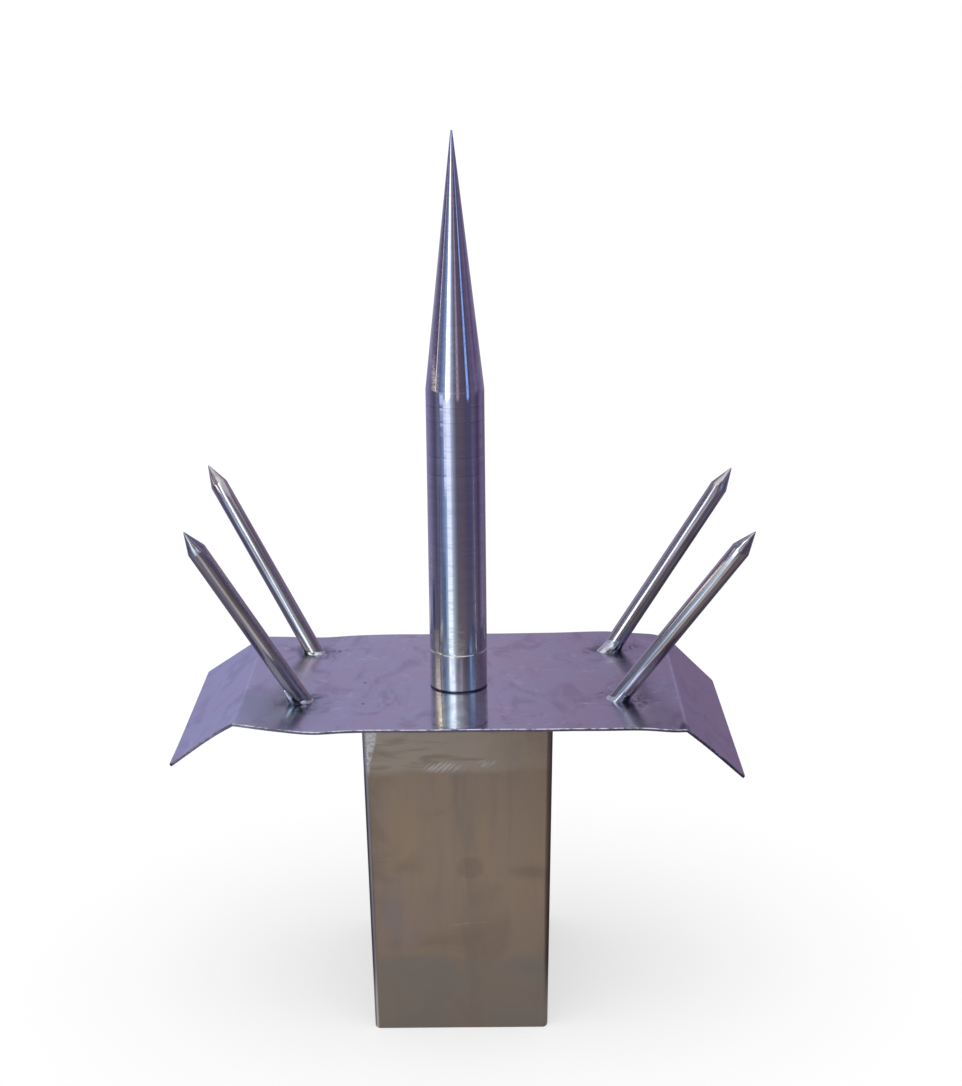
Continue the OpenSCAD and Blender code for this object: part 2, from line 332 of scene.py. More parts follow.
def place(tree, scale=(1, 1, 1), turn=(0, 0, 0)):
    """Object coordinates, stretched and turned."""
    return moved(tree, put(tree, "ShaderNodeTexCoord").outputs["Object"], scale, turn)


def parts(tree, vector):
    """The X, Y and Z of a vector."""
    return put(tree, "ShaderNodeSeparateXYZ", {0: vector}).outputs


def clouds(tree, vector, scale, detail=3.0, rough=0.5, twist=0.0):
    """Noise from about 0.3 to 0.7."""
    made = put(
        tree, "ShaderNodeTexNoise",
        {"Vector": vector, "Scale": scale, "Detail": detail, "Roughness": rough,
         "Distortion": twist})
    return made.outputs["Fac"]


def distance(tree, vector, centre):
    made = put(tree, "ShaderNodeVectorMath", {0: vector, 1: centre}, operation="DISTANCE")
    return made.outputs["Value"]


def near(tree, vector, centre, radius, soft):
    """A mask that is 1 about a place and fades out at a radius."""
    return spread(tree, distance(tree, vector, centre), radius, radius * (1 - soft))


def stripe(tree, value, middle, outer, inner, most=1.0):
    """A mask that is strongest where a value is at its middle."""
    gap = math_node(tree, "ABSOLUTE", minus(tree, value, middle))
    return spread(tree, gap, outer, inner, 0.0, most)


def oval(tree, flat, x, y, wide, deep, soft):
    """A mask on a vector's X and Y that is 1 about a place and fades out at its half widths."""
    inside = moved(tree, flat, (1 / wide, 1 / deep, 0), shift=(-x / wide, -y / deep, 0))
    gap = put(tree, "ShaderNodeVectorMath", {0: inside}, operation="LENGTH")
    return spread(tree, gap.outputs["Value"], 1.0, 1.0 - soft)


def ovals(tree, flat, rows, soft):
    """A mask of several ovals, each row a place and its half widths."""
    return strongest(tree, *(oval(tree, flat, *row, soft) for row in rows))


def steel_material(name):
    """A new metal material and its tree."""
    material = bpy.data.materials.new(name)
    material.use_nodes = True
    return material, material.node_tree


def surface(tree, colour, rough, height=None, strength=0.0, deep=0.0):
    """Feeds a metal's Principled shader with a colour, a roughness and a bump."""
    shader = next(n for n in tree.nodes if n.type == "BSDF_PRINCIPLED")
    shader.inputs["Metallic"].default_value = 1.0
    tree.links.new(colour, shader.inputs["Base Color"])
    tree.links.new(rough, shader.inputs["Roughness"])
    if height is not None:
        bump = put(
            tree, "ShaderNodeBump", {"Strength": strength, "Distance": deep, "Height": height})
        tree.links.new(bump.outputs[0], shader.inputs["Normal"])


# Shared effects

def group(name, **inputs):
    """A new node group with float or vector inputs, and the sockets that give them."""
    tree = bpy.data.node_groups.new(name, "ShaderNodeTree")
    for label, value in inputs.items():
        kind = "NodeSocketVector" if isinstance(value, tuple) else "NodeSocketFloat"
        tree.interface.new_socket(label, in_out="INPUT", socket_type=kind).default_value = value
    return tree, tree.nodes.new("NodeGroupInput").outputs


def results(tree, **values):
    """Puts a group's values out by their names."""
    for label in values:
        tree.interface.new_socket(label, in_out="OUTPUT", socket_type="NodeSocketFloat")
    put(tree, "NodeGroupOutput", values)
    return tree


def use(tree, effect, **inputs):
    """Places a shared effect, which is built the first time, and gives its outputs."""
    shared = bpy.data.node_groups.get(effect.__name__) or effect(effect.__name__)
    return put(tree, "ShaderNodeGroup", inputs, node_tree=shared).outputs


def hairlines(name):
    """Fine broken hairlines along X of the vector that it is given."""
    tree, given = group(name, Vector=(0, 0, 0), Fineness=900.0, Amount=0.5)
    lines = clouds(tree, moved(tree, given["Vector"], (0.03, 1, 1)), given["Fineness"], 2.0, 0.6)
    low = minus(tree, 0.78, times(tree, given["Amount"], 0.2))
    thin = put(tree, "ShaderNodeMapRange", {0: lines, 1: low, 2: plus(tree, low, 0.06)})
    gate = spread(tree, clouds(tree, given["Vector"], 60.0, 2.0), 0.45, 0.65)
    return results(tree, Mask=times(tree, thin.outputs[0], gate))


def smears(name):
    """Rubbed, cloudy marks that run along X of the vector."""
    tree, given = group(name, Vector=(0, 0, 0), Scale=30.0)
    long = moved(tree, given["Vector"], (0.22, 1, 1))
    return results(
        tree, Cloud=clouds(tree, given["Vector"], given["Scale"], 5.0, 0.55, 0.6),
        Streak=clouds(tree, long, times(tree, given["Scale"], 3.0), 4.0, 0.6, 0.4))


def lathe_rings(name):
    """Fine and coarse tool rings up a turned piece."""
    tree, given = group(name, Height=0.0, Pitch=0.0004)
    fine = math_node(tree, "DIVIDE", given["Height"], given["Pitch"])
    rings, bands = (
        put(tree, "ShaderNodeTexNoise",
            {"W": height, "Scale": 1.0, "Detail": detail, "Roughness": rough}, noise_dimensions="1D")
        for height, detail, rough in (
            (fine, 3.0, 0.7), (math_node(tree, "DIVIDE", fine, 9.0), 2.0, 0.5)))
    return results(tree, Rings=rings.outputs["Fac"], Bands=bands.outputs["Fac"])


# Materials

def turned_steel(settings):
    """Bright turned steel with tool rings, faint bands and a few rub marks."""
    material, tree = steel_material("turned_steel")
    height = parts(tree, place(tree))["Z"]
    rings = use(tree, lathe_rings, Height=height, Pitch=settings.pitch)
    rubs = clouds(tree, place(tree, scale=(1, 1, 0.25)), 90.0, 4.0)
    hatch = spread(tree, clouds(tree, place(tree, scale=(1, 1, 6)), 130.0, 3.0, 0.6), 0.48, 0.66)
    steel = tone(settings.steel)
    dark = dimmed(steel, 0.45)
    colour = blend(tree, spread(tree, rings["Bands"], 0.3, 0.7), dimmed(steel, 0.92), steel)
    warm = spread(tree, height, SPIKE_LOW.z + settings.warm_run, COLLAR_LOW.z)
    colour = blend(tree, warm, colour, tone(settings.warm))
    colour = blend(tree, times(tree, hatch, 0.2), colour, dark)
    scribed = strongest(tree, *(
        stripe(tree, height, SPIKE_LOW.z + ring, outer=0.0003, inner=0.0001) for ring in settings.rings))
    scribed = times(tree, scribed, spread(tree, rubs, 0.4, 0.6, 0.1, 0.5))
    # Painted shade: the collar darkens just above where it meets the sheet
    collar_foot_shade = spread(tree, height, COLLAR_LOW.z + 0.0011, COLLAR_LOW.z + 0.0005, 0.0, 1.6)
    colour = blend(tree, strongest(tree, scribed, collar_foot_shade), colour, dark)
    rough = plus(tree, spread(tree, rubs, 0.4, 0.75, 0.06, 0.10), times(tree, hatch, 0.10))
    surface(tree, colour, rough, rings["Rings"], strength=0.2, deep=0.00003)
    return material


def drawn_steel(settings):
    """Bright drawn bar: die lines along the rod and dull brown patches."""
    material, tree = steel_material("drawn_steel")
    bar = put(tree, "ShaderNodeAttribute", attribute_name="bar").outputs["Vector"]
    lines = clouds(tree, moved(tree, bar, (1, 1, 0.02)), 480.0, 1.0)
    patches = clouds(tree, moved(tree, bar, (1, 1, 0.25)), 150.0, 4.0)
    steel = tone(settings.steel)
    colour = blend(tree, spread(tree, patches, 0.5, 0.75, 0.0, 0.6), steel, tone(settings.brown))
    colour = blend(tree, spread(tree, lines, 0.52, 0.66, 0.0, 0.6), colour, dimmed(steel, 0.6))
    rough = spread(tree, lines, 0.35, 0.7, 0.13, 0.2)
    surface(tree, colour, rough, lines, strength=0.5, deep=0.0005)
    return material


# Ovals on the cover's top: X, Y and half widths, the smudges from the foot of each corner's rod; the
# front left ones are partly painted shadow under that rod's weld bead
SMUDGES = (
    ("front_left", -0.0060, -0.0040, 0.0095, 0.0125), ("front_left", 0.0010, -0.0120, 0.0080, 0.0080),
    ("front_right", 0.0080, -0.0040, 0.0085, 0.0120), ("back_left", -0.0060, -0.0010, 0.0045, 0.0050),
    ("back_left", 0.0100, 0.0010, 0.0100, 0.0030), ("back_right", 0.0080, 0.0040, 0.0080, 0.0110))
HANDLED = (
    (-0.040, 0.036, 0.010, 0.012), (-0.055, -0.033, 0.010, 0.010), (0.057, -0.028, 0.008, 0.010),
    (0.070, 0.026, 0.010, 0.012), (0.079, -0.028, 0.008, 0.010), (-0.061, 0.046, 0.008, 0.010))
PITS = ((-0.0408, -0.0250, 0.0011, 0.0011), (-0.0414, 0.0024, 0.0011, 0.0011))
# Middles of the greyer patch and of the smoother one in front of the spike
SLATE_PATCH, POLISHED = (-0.081, -0.030, COVER_TOP), (0, -0.02, COVER_TOP)
# How far a rubbed line lies inside its fold, and from a fold to where a wing's look sets in
RUB_INSET, WING_START = 0.0005, 0.0006


def foot_marks(tree, coords, feet, radius):
    """A ragged mask that is strongest at the rods' feet."""
    wander = times(tree, minus(tree, clouds(tree, coords, 120.0), 0.5), radius * 1.2)
    return strongest(tree, *(
        spread(tree, plus(tree, distance(tree, coords, foot), wander), radius, radius * 0.25)
        for foot in feet.values()))


def cover_sheet(settings):
    """Dull sheet with mottling, rubbed folds, strokes, pits and burns round the rods."""
    material, tree = steel_material("cover_sheet")
    coords = place(tree)
    x = parts(tree, coords)["X"]
    left, right = -settings.fold_left, settings.fold_right
    burnt, plum, rubbed = tone(settings.burnt), tone(settings.plum), tone(settings.rubbed)
    smear = use(tree, smears, Vector=place(tree, turn=(0, 0, math.radians(8))), Scale=42.0)

    # Mottling, calmer on the wings, and painted shade towards the right
    colour = blend(
        tree, spread(tree, smear["Cloud"], 0.3, 0.7), tone(settings.mauve), tone(settings.lilac))
    # Painted shade: the sheet darkens towards plum on its right
    colour = blend(tree, times(tree, spread(tree, x, -0.03, 0.10), 0.35), colour, plum)
    left_wing = spread(tree, x, left + WING_START, left - WING_START)
    right_wing = spread(tree, x, right - WING_START, right + WING_START)
    calm = minus(tree, 1.0, times(tree, strongest(tree, left_wing, right_wing), 0.75))
    dabs = clouds(tree, place(tree, scale=(1, 0.45, 1)), 75.0, 4.0, 0.55, 1.0)
    colour = blend(tree, spread(tree, dabs, 0.5, 0.68, 0.0, 0.5), colour, plum)
    wipes = clouds(tree, place(tree, scale=(0.7, 0.6, 1), turn=(0, 0, 0.6)), 170.0, 2.0, 0.5, 1.4)
    wiped = times(tree, spread(tree, wipes, 0.58, 0.74, 0.0, 0.32), calm)
    colour = blend(tree, wiped, colour, rubbed)
    slate = near(tree, coords, SLATE_PATCH, radius=0.034, soft=0.8)
    slate = times(tree, slate, minus(tree, 0.8, left_wing, clamp=True))
    colour = blend(tree, slate, colour, tone(settings.slate))

    # Burns, and smudges at the rods' feet, partly painted shadow
    feet = {corner: rod_axis(corner)[0] for corner in CORNERS}
    burn = foot_marks(tree, coords, feet, settings.burn)
    burn = times(tree, burn, spread(tree, wipes, 0.4, 0.6, 0.15, 1.0))
    # Painted shadow in part: the smudges by the front left rod's foot stand for its bead's shadow
    sooty = ovals(tree, coords, (
        (feet[corner].x + at_x, feet[corner].y + at_y, wide, deep)
        for corner, at_x, at_y, wide, deep in SMUDGES), soft=0.9)
    brushed = clouds(tree, place(tree, scale=(1, 0.5, 1), turn=(0, 0, 0.5)), 480.0, 3.0, 0.6)
    burn = strongest(tree, burn, times(tree, sooty, spread(tree, brushed, 0.4, 0.6)))
    colour = blend(tree, times(tree, burn, 0.9), colour, burnt)

    # Rubbed folds, strokes, hairlines, pits and the painted shadow under the right fold's front corner
    rub = strongest(
        tree, stripe(tree, x, left + RUB_INSET, outer=0.0009, inner=0.0002, most=0.3),
        stripe(tree, x, right - RUB_INSET, outer=0.0009, inner=0.0002))
    rub = times(tree, rub, spread(tree, smear["Streak"], 0.35, 0.6, 0.15, 0.6))
    dashes = clouds(tree, place(tree, scale=(0.25, 0.7, 1), turn=(0, 0, 0.35)), 420.0, 2.0, 0.5, 0.6)
    handled = ovals(tree, coords, HANDLED, soft=0.8)
    stroke = times(tree, handled, spread(tree, dashes, 0.54, 0.66, 0.0, 0.6))
    hair = use(
        tree, hairlines, Vector=place(tree, turn=(0, 0, math.radians(5))), Fineness=520.0, Amount=0.6)
    hair = times(tree, hair["Mask"], times(tree, calm, 0.3))
    colour = blend(tree, strongest(tree, rub, stroke, hair), colour, rubbed)
    # Painted shadow: a dark spot under the right fold's front corner
    fold_corner_shadow = (right - 0.0010, COVER_LOW.y, 0.0030, 0.0100)
    pits = ovals(tree, coords, (*PITS, fold_corner_shadow), soft=0.5)
    colour = blend(tree, times(tree, pits, 0.8), colour, burnt)

    # Finish, smoother in front of the spike
    polish = near(tree, coords, POLISHED, radius=0.07, soft=0.5)
    grain = spread(tree, clouds(tree, coords, 620.0, 2.0), 0.45, 0.62, 0.16, 0.06)
    rough = minus(tree, spread(tree, smear["Cloud"], 0.3, 0.7, 0.2, 0.28), times(tree, polish, grain))
    height = plus(tree, clouds(tree, coords, 38.0, 2.0), times(tree, smear["Streak"], 0.12))
    surface(tree, colour, rough, height, strength=0.14, deep=0.0006)
    return material


def cut_edge(name, colour, nick):
    """Edge that the shears left on the sheet, in one colour with darker nicks; on the sheared faces that
    colour is painted shade.
    """
    material, tree = steel_material(name)
    fine = clouds(tree, place(tree, scale=(1, 1, 3)), 420.0)
    long = clouds(tree, place(tree, scale=(1, 0.5, 0.5)), 70.0, 2.0)
    nicks = plus(tree, times(tree, fine, 0.5), times(tree, long, 0.5))
    bare = tone(colour)
    colour = blend(tree, spread(tree, nicks, 0.42, 0.58), bare, dimmed(bare, nick))
    surface(tree, colour, spread(tree, nicks, 0.35, 0.7, 0.25, 0.4))
    return material


# Ovals on the tube's front: X, Z and half widths, the blots with their softness and strength
BLOTS = (
    (0.0046, 0.0745, 0.0068, 0.0056, 0.3, 0.5), (0.030, 0.073, 0.010, 0.006, 1.0, 0.35),
    (-0.020, 0.075, 0.010, 0.006, 1.0, 0.3), (0.030, 0.028, 0.008, 0.005, 1.0, 0.35),
    (-0.028, 0.040, 0.006, 0.004, 1.0, 0.3))
SCUFFS = ((-0.0065, 0.1200, 0.0115, 0.0032), (0.0125, 0.1215, 0.0060, 0.0022))
COOL_PATCH = (-0.025, 0.053, 0.015, 0.026)


def tube_steel(settings):
    """Satin brown-grey tube with smudges, drips, blots, a scuff, a bright ground corner, a painted
    highlight down that corner and painted shade towards the foot.
    """
    material, tree = steel_material("tube_steel")
    coords = place(tree)
    x, _, z = parts(tree, coords)
    front = put(tree, "ShaderNodeCombineXYZ", {"X": x, "Y": z}).outputs[0]
    grey, umber = tone(settings.grey), tone(settings.umber)
    smear = use(tree, smears, Vector=place(tree, turn=(0, math.radians(90), 0)), Scale=26.0)
    patches = clouds(tree, coords, 34.0, 5.0, 0.55, 0.8)
    columns = clouds(tree, place(tree, scale=(1, 1, 0.14)), 70.0, 4.0, 0.55, 0.5)

    # Drips, streaks, smudges and painted shade towards the foot
    colour = blend(
        tree, spread(tree, smear["Streak"], 0.42, 0.62, 0.0, 0.8), tone(settings.brown),
        tone(settings.tan))
    colour = blend(tree, spread(tree, columns, 0.5, 0.68, 0.0, 0.5), colour, grey)
    colour = blend(tree, spread(tree, patches, 0.48, 0.7, 0.0, 0.45), colour, umber)
    # Painted shade: darker umber towards the foot
    colour = blend(tree, spread(tree, z, 0.085, 0.025, 0.0, 0.4), colour, umber)

    # Ragged bands at the foot and top
    level = plus(tree, z, times(tree, minus(tree, patches, 0.5), 0.010))
    low = times(
        tree, spread(tree, level, settings.foot_band, settings.foot_band - 0.006, 0.0, 0.85),
        spread(tree, patches, 0.38, 0.60, 1.0, 0.45))
    colour = blend(tree, low, colour, grey)
    band = TUBE_HIGH.z - settings.top_band
    high = times(
        tree, spread(tree, level, band, band + 0.0045), spread(tree, x, 0.034, 0.006, 0.25, 0.65))
    colour = blend(tree, high, colour, tone(settings.pale))
    rolled = clouds(tree, place(tree, scale=(0.22, 1, 1)), 190.0, 4.0, 0.6, 0.8)
    rolled = times(
        tree, spread(tree, rolled, 0.5, 0.7, 0.0, 0.5), spread(tree, level, band - 0.003, band + 0.005))
    colour = blend(tree, rolled, colour, umber)

    # Cool patch and blots
    cool = oval(tree, front, *COOL_PATCH, soft=1.0)
    cool = times(tree, cool, spread(tree, patches, 0.35, 0.6, 0.3, 0.8))
    colour = blend(tree, cool, colour, tone(settings.mauve))
    blots = strongest(tree, *(
        times(tree, oval(tree, front, *blot), most) for *blot, most in BLOTS))
    blots = times(tree, blots, spread(tree, patches, 0.35, 0.55, 0.5, 1.0))
    colour = blend(tree, blots, colour, umber)

    light = strongest(
        tree, *tube_scratches(tree, front), *tube_corner(tree, settings, coords, x, z, level))
    colour = blend(tree, light, colour, tone(settings.bright))
    rough = spread(tree, smear["Streak"], 0.35, 0.7, 0.34, 0.44)
    surface(tree, colour, rough, smear["Streak"], strength=0.1, deep=0.0004)
    return material


def tube_scratches(tree, front):
    """Masks of the slanted scuffs under the tube's top and of stray hairlines."""
    slanted = moved(tree, place(tree, turn=(0, math.radians(40), 0)), (0.08, 1, 1))
    scuff = ovals(tree, front, SCUFFS, soft=0.7)
    scuff = times(tree, scuff, spread(tree, clouds(tree, slanted, 1300.0, 1.0), 0.46, 0.6))
    hair = use(
        tree, hairlines, Vector=place(tree, turn=(0, math.radians(8), 0)), Fineness=800.0, Amount=0.3)
    return times(tree, scuff, 0.4), times(tree, hair["Mask"], 0.25)


def tube_corner(tree, settings, coords, x, z, level):
    """Masks of the ground patch at the top of the left corner and of the painted highlight down it."""
    lean = times(tree, minus(tree, TUBE_HIGH.z, z), settings.lean)
    inset = minus(tree, minus(tree, x, TUBE_LOW.x), lean)
    band = TUBE_HIGH.z - settings.top_band
    flare = spread(tree, z, band, TUBE_HIGH.z, 0.0, 0.0038)
    ground = times(
        tree, spread(tree, minus(tree, inset, flare), 0.0028, 0.0016),
        spread(tree, level, band, band + 0.003))
    speckle = spread(tree, clouds(tree, coords, 900.0, 2.0), 0.35, 0.6, 0.2, 0.75)
    # Painted highlight: a bright line down the rounded left corner, where it mirrors a light
    line = times(tree, spread(tree, inset, 0.0019, 0.0014), spread(tree, inset, 0.0006, 0.001))
    return times(tree, ground, speckle), times(tree, line, 0.6)


def weld_metal(settings):
    """Silvery weld bead with sooty lumps and dark hollows, partly soot and partly painted shade."""
    material, tree = steel_material("weld_metal")
    grain = clouds(tree, place(tree), 420.0, 4.0, 0.6, 0.5)
    patch = clouds(tree, place(tree), 160.0)
    sooty = put(tree, "ShaderNodeAttribute", attribute_name="soot").outputs["Fac"]
    burnt = plus(tree, sooty, minus(tree, patch, 0.5))
    colour = blend(
        tree, spread(tree, burnt, 0.15, 0.7), tone(settings.silver), tone(settings.soot))
    rough = spread(tree, grain, 0.3, 0.7, 0.24, 0.38)
    surface(tree, colour, rough, grain, strength=0.12, deep=0.0002)
    return material


def fastener_steel(settings):
    """Plain bright steel of the stud, washer and nut."""
    material, tree = steel_material("fastener_steel")
    worn = clouds(tree, place(tree), 260.0, 4.0)
    silver = tone(settings.silver)
    colour = blend(tree, spread(tree, worn, 0.4, 0.65), silver, dimmed(silver, 0.7))
    surface(tree, colour, spread(tree, worn, 0.35, 0.7, 0.25, 0.42))
    return material


# Pieces

# How near points lie to a rod's lowest and highest one to count as its foot and its tip
FOOT_REACH, TIP_REACH = 1e-5, 0.0006


def rod_axis(corner):
    """Foot and point of a rod, from its solid."""
    places = [v.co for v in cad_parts["rod_" + corner].data.vertices]
    low = min(p.z for p in places)
    ring = [p for p in places if p.z < low + FOOT_REACH]
    foot = Vector((
        (min(p.x for p in ring) + max(p.x for p in ring)) / 2,
        (min(p.y for p in ring) + max(p.y for p in ring)) / 2, low))
    top = max(places, key=lambda p: p.z)
    tip_ring = [p for p in places if (p - top).length < TIP_REACH]
    point = sum(tip_ring, Vector()) / len(tip_ring)
    return foot, point


class TurnSpike(bpy.types.Operator):
    """Turn the centre spike and its collar"""
    bl_idname = "lightning_rod.turn_spike"
    bl_label = "Turn spike and collar"

    # Steps up to each ring, up the cone and up the collar
    RING_STEPS, CONE_STEPS, COLLAR_STEPS = 8, 24, 6
    # Share of a ring's width that is its floor
    RING_FLOOR = 0.3

    def execute(self, context):
        settings = context.scene.lr_spike
        steel = turned_steel(settings)
        spike = written(turned(self.spike(settings), settings.sides), "turned_spike")
        dressed(spike, steel, "turned_steel", "centre_spike")
        collar = written(turned(self.collar(settings), settings.sides), "turned_collar")
        dressed(collar, steel, "turned_steel", "spike_collar")
        return {"FINISHED"}

    def spike(self, settings):
        """Profile of the chamfered foot, the shank with its rings and the cone."""
        radius, chamfer, blunt = SPIKE_HIGH.x, settings.chamfer, settings.blunt
        foot, tip = SPIKE_LOW.z, SPIKE_HIGH.z
        shoulder = foot + settings.shank
        profile = [(0.0, foot), (radius - chamfer, foot), (radius, foot + chamfer)]
        deep, half = radius - settings.ring_depth, settings.ring_width / 2
        for ring in settings.rings:
            height = foot + ring
            profile += stretch(profile[-1], (radius, height - half), self.RING_STEPS)[1:]
            floor = half * self.RING_FLOOR
            profile += [
                (radius, height - half), (deep, height - floor), (deep, height + floor),
                (radius, height + half)]
        profile += [(radius, shoulder - chamfer / 2)]
        cone = (radius - chamfer / 5, shoulder + chamfer)
        profile += stretch(cone, (blunt, tip), self.CONE_STEPS)
        return profile + [(blunt, tip - blunt / 2), (0.0, tip)]

    def collar(self, settings):
        """Profile of the collar, chamfered at both ends."""
        radius, chamfer = SPIKE_HIGH.x, settings.chamfer
        low, high = COLLAR_LOW.z, COLLAR_HIGH.z
        profile = [(0.0, low), (radius - chamfer, low)]
        profile += stretch((radius, low + chamfer), (radius, high - chamfer), self.COLLAR_STEPS)
        return profile + [(radius, high - chamfer), (radius - chamfer, high), (0.0, high)]


class FoldCover(bpy.types.Operator):
    """Fold the hand-cut sheet cover"""
    bl_idname = "lightning_rod.fold_cover"
    bl_label = "Fold cover"

    # Steps of the grid across the sheet and along its depth
    STEPS_ACROSS, STEPS_DEEP = 120, 72
    # Powers by which the bends soften to the back and an edge's wander dies out inward
    BEND_POWER, WANDER_POWER = 1.5, 6
    # How far the front and the back edge wander, how often, and their places in the noise
    WANDER = ((0.0006, 45, 3.0), (0.0007, 40, 9.0))
    # Height of a normal from which a face counts as one on top
    UPWARD = 0.5
    # Shares of the grid's half width at which the flat and the bend end
    FLAT_END, BEND_END = 0.6, 0.8
    # Material slots of the sheared edge, in painted shade, and of the burr on it
    EDGE, BURR = 1, 2
    # Dents and lifts of the sheet: height, place and reach
    DENTS = (
        (0.0030, -0.100, -0.060, 0.018, 0.022), (-0.0006, -0.060, -0.058, 0.008, 0.014),
        (-0.0012, -0.066, 0.073, 0.016, 0.014), (0.0005, 0.066, 0.073, 0.020, 0.016),
        (-0.0010, 0.092, -0.058, 0.010, 0.014))

    def execute(self, context):
        settings = context.scene.lr_cover
        bm = bmesh.new()
        bmesh.ops.create_grid(bm, x_segments=self.STEPS_ACROSS, y_segments=self.STEPS_DEEP, size=1.0)
        for vert in bm.verts:
            vert.co = self.folded(settings, vert.co.x, (vert.co.y + 1) / 2)
        hole = [f for f in bm.faces if f.calc_center_median().xy.length < settings.hole]
        bmesh.ops.delete(bm, geom=hole, context="FACES")
        bmesh.ops.recalc_face_normals(bm, faces=bm.faces)
        if next(iter(bm.faces)).normal.z < 0:
            bmesh.ops.reverse_faces(bm, faces=bm.faces)
        corners = [v for v in bm.verts if len(v.link_edges) == 2]
        bmesh.ops.bevel(
            bm, geom=corners, affect="VERTICES", offset=settings.corner, segments=3, profile=0.5,
            material=-1)
        self.thicken(bm, settings)
        piece = dressed(
            written(bm, "folded_cover"), cover_sheet(settings), "cover_sheet", "cover_plate")
        # Painted shade: the cut edge takes a darker copy of the sheet's colour, with nicks
        piece.data.materials.append(cut_edge("shaded_sheared_edge", settings.sheared, nick=0.7))
        piece.data.materials.append(cut_edge("bare_burr", settings.bare, nick=0.22))
        return {"FINISHED"}

    def thicken(self, bm, settings):
        """Gives the sheet its thickness, and its cut edge a burr on top; on the left wing the burr takes
        the sheared edge's painted shade.
        """
        sheet_points = set(bm.verts)
        bmesh.ops.solidify(bm, geom=bm.faces, thickness=COVER_TOP - COVER_UNDER)
        bmesh.ops.recalc_face_normals(bm, faces=bm.faces)
        rims = [f for f in bm.faces if 0 < sum(v in sheet_points for v in f.verts) < len(f.verts)]
        for face in rims:
            face.material_index = self.EDGE
        edges = [
            e for face in rims for e in face.edges
            if any(f.normal.z > self.UPWARD and f.material_index == 0 for f in e.link_faces)]
        bmesh.ops.bevel(
            bm, geom=edges, offset=settings.burr, offset_type="OFFSET", affect="EDGES", segments=1,
            profile=0.5, material=self.BURR)
        # Painted shade: the burr on the left wing takes the darker edge colour
        for face in bm.faces:
            if face.material_index == self.BURR and face.calc_center_median().x < -settings.fold_left:
                face.material_index = self.EDGE

    def folded(self, settings, u, share):
        """Place on the sheet's top, across from -1 to 1 and at a share of its depth."""
        x, z = self.across(settings, u, share)
        start = COVER_LOW.y + self.trim(settings, x, settings.trim_front_left, 0.0)
        end = COVER_HIGH.y - self.trim(settings, x, settings.trim_back_left, settings.trim_back_right)
        y = start + (end - start) * share
        dent = sum(
            height * math.exp(-((x - at_x) / wide) ** 2 - ((y - at_y) / deep) ** 2)
            for height, at_x, at_y, wide, deep in self.DENTS)
        return Vector((x, y + self.ragged(x, share), COVER_TOP + z + dent))

    def across(self, settings, u, share):
        """Place across the sheet and its fall there."""
        side = "left" if u < 0 else "right"
        fold, wing, angle, soft = (
            getattr(settings, name + side) for name in ("fold_", "wing_", "angle_", "soft_"))
        angle += settings.twist * (share - 0.5)
        radius = settings.crisp + (soft - settings.crisp) * share ** self.BEND_POWER
        setback = radius * math.tan(angle / 2)
        a = abs(u)
        if a < self.FLAT_END:
            x, z = (fold - setback) * a / self.FLAT_END, 0.0
        else:
            turn = angle * min(1.0, (a - self.FLAT_END) / (self.BEND_END - self.FLAT_END))
            along = (wing - setback) * max(0.0, (a - self.BEND_END) / (1 - self.BEND_END))
            x = fold - setback + radius * math.sin(turn) + along * math.cos(angle)
            z = -radius * (1 - math.cos(turn)) - along * math.sin(angle)
        return math.copysign(x, u), z

    @staticmethod
    def trim(settings, x, left, right):
        """How far an edge is cut back at x, from the trims at its two folds."""
        cut, fold, wing = (
            (left, settings.fold_left, -COVER_LOW.x) if x < 0
            else (right, settings.fold_right, COVER_HIGH.x))
        a = abs(x)
        if a < fold:
            return cut * max(0.0, 1 - (fold - a) / settings.trim_run)
        out = (a - fold) / (wing - fold)
        return cut + (settings.wing_trim - cut) * out

    def ragged(self, x, share):
        """How far the hand-cut front and back edges wander."""
        front, back = (
            most * noise.noise(Vector((x * often, at, 0.0))) for most, often, at in self.WANDER)
        return front * (1 - share) ** self.WANDER_POWER + back * share ** self.WANDER_POWER


